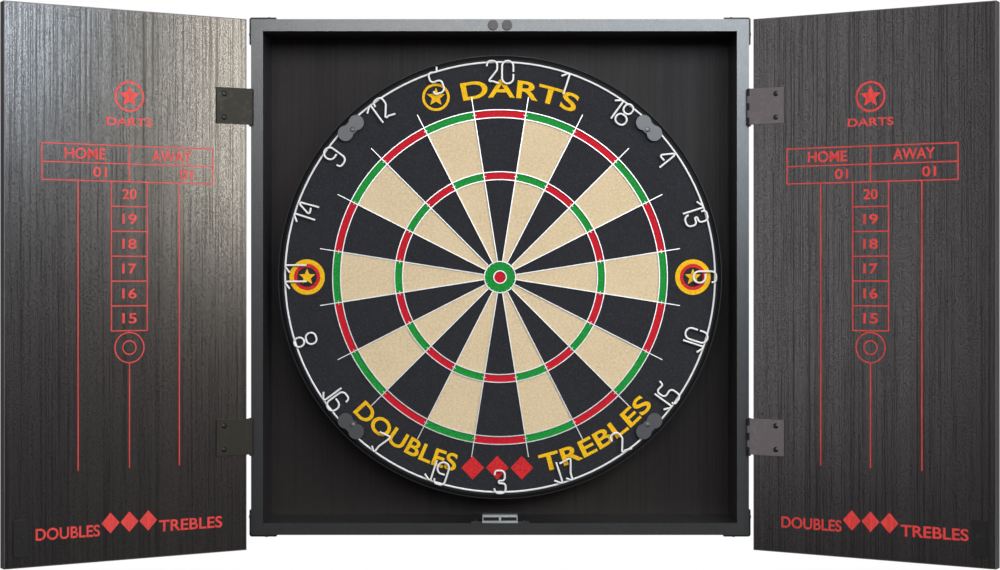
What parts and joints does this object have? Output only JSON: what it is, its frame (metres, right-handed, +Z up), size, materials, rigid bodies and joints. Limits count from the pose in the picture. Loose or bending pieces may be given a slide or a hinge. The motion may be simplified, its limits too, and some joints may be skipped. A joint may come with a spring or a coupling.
{
  "type": "dart board cabinet",
  "caption": "Shallow wall cabinet with swinging score doors, a magnetic catch and a round bristle dart board that turns on its hanger behind a clipped number ring.",
  "frame": {"origin": "centre of the case's back face, which lies on the wall", "axes": "+X to the viewer's right along the case, +Y into the wall, +Z up; the doors are on the -Y side"},
  "size_m": [0.9378, 0.2077, 0.5357],
  "materials": {
    "case_laminate": "satin",
    "dark_laminate": "satin",
    "edge_tape": "satin",
    "beech": "matte",
    "black_steel": "satin",
    "bronze_steel": "satin",
    "screw_steel": "gloss",
    "felt_pad": "matte",
    "catch_plastic": "satin",
    "bright_steel": "satin",
    "magnet": "matte",
    "chipboard": "matte",
    "sisal": "matte",
    "band_steel": "satin",
    "web_wire": "satin",
    "white_wire": "satin",
    "support_rubber": "matte",
    "clip_plastic": "satin"
  },
  "bodies": {
    "case": {"top_panel": "case_laminate", "bottom_panel": "case_laminate", "left_side_panel": "case_laminate", "right_side_panel": "case_laminate", "back_panel": "dark_laminate", "panel_dowels": "beech", "top_left_corner_bracket": "black_steel", "top_right_corner_bracket": "black_steel", "bottom_left_corner_bracket": "black_steel", "bottom_right_corner_bracket": "black_steel", "corner_bracket_screws": "screw_steel", "left_door_bumper": "felt_pad", "right_door_bumper": "felt_pad", "catch_housing": "catch_plastic", "catch_pole_plates": "bright_steel", "catch_magnets": "magnet", "catch_screws": "screw_steel", "board_hanger": "bright_steel", "board_hanger_screws": "screw_steel", "hinge_frame_screws": "screw_steel", "upper_left_hinge_frame_leaf": "bronze_steel", "upper_left_hinge_pin": "bronze_steel", "upper_right_hinge_frame_leaf": "bronze_steel", "upper_right_hinge_pin": "bronze_steel", "lower_left_hinge_frame_leaf": "bronze_steel", "lower_left_hinge_pin": "bronze_steel", "lower_right_hinge_frame_leaf": "bronze_steel", "lower_right_hinge_pin": "bronze_steel"},
    "board": {"board_backing": "chipboard", "sisal_disc": "sisal", "board_band": "band_steel", "spider_web": "web_wire", "bull_rings": "web_wire", "number_ring": "white_wire", "ring_numerals": "white_wire", "hanger_bolt": "bright_steel", "rear_supports": "support_rubber", "ring_clip_screws": "screw_steel"},
    "left_door": {"left_door_panel": "dark_laminate", "left_door_edge_bands": "edge_tape", "upper_left_hinge_door_leaf": "bronze_steel", "lower_left_hinge_door_leaf": "bronze_steel", "left_door_hinge_screws": "screw_steel", "left_strike_plate": "black_steel", "left_strike_screw": "screw_steel"},
    "right_door": {"right_door_panel": "dark_laminate", "right_door_edge_bands": "edge_tape", "upper_right_hinge_door_leaf": "bronze_steel", "lower_right_hinge_door_leaf": "bronze_steel", "right_door_hinge_screws": "screw_steel", "right_strike_plate": "black_steel", "right_strike_screw": "screw_steel"},
    "top_right_clip": {"top_right_ring_clip": "clip_plastic"},
    "bottom_right_clip": {"bottom_right_ring_clip": "clip_plastic"},
    "bottom_left_clip": {"bottom_left_ring_clip": "clip_plastic"},
    "top_left_clip": {"top_left_ring_clip": "clip_plastic"}
  },
  "joints": [
    {"name": "left_door_swing", "type": "hinge", "parent": "case", "child": "left_door", "pos_m": [-0.25, -0.07825, 0], "axis": [0, 0, -1], "range_deg": [-149, 31]},
    {"name": "right_door_swing", "type": "hinge", "parent": "case", "child": "right_door", "pos_m": [0.25, -0.07825, 0], "axis": [0, 0, 1], "range_deg": [-149, 31]},
    {"name": "board_turn", "type": "hinge", "parent": "case", "child": "board", "pos_m": [0, -0.015, 0], "axis": [0, -1, 0], "continuous": true},
    {"name": "top_right_clip_turn", "type": "hinge", "parent": "board", "child": "top_right_clip", "pos_m": [0.14955, -0.0555, 0.14955], "axis": [0, -1, 0], "range_deg": [0, 180]},
    {"name": "bottom_right_clip_turn", "type": "hinge", "parent": "board", "child": "bottom_right_clip", "pos_m": [0.14955, -0.0555, -0.14955], "axis": [0, -1, 0], "range_deg": [0, 180]},
    {"name": "bottom_left_clip_turn", "type": "hinge", "parent": "board", "child": "bottom_left_clip", "pos_m": [-0.14955, -0.0555, -0.14955], "axis": [0, -1, 0], "range_deg": [0, 180]},
    {"name": "top_left_clip_turn", "type": "hinge", "parent": "board", "child": "top_left_clip", "pos_m": [-0.14955, -0.0555, 0.14955], "axis": [0, -1, 0], "range_deg": [0, 180]}
  ]
}
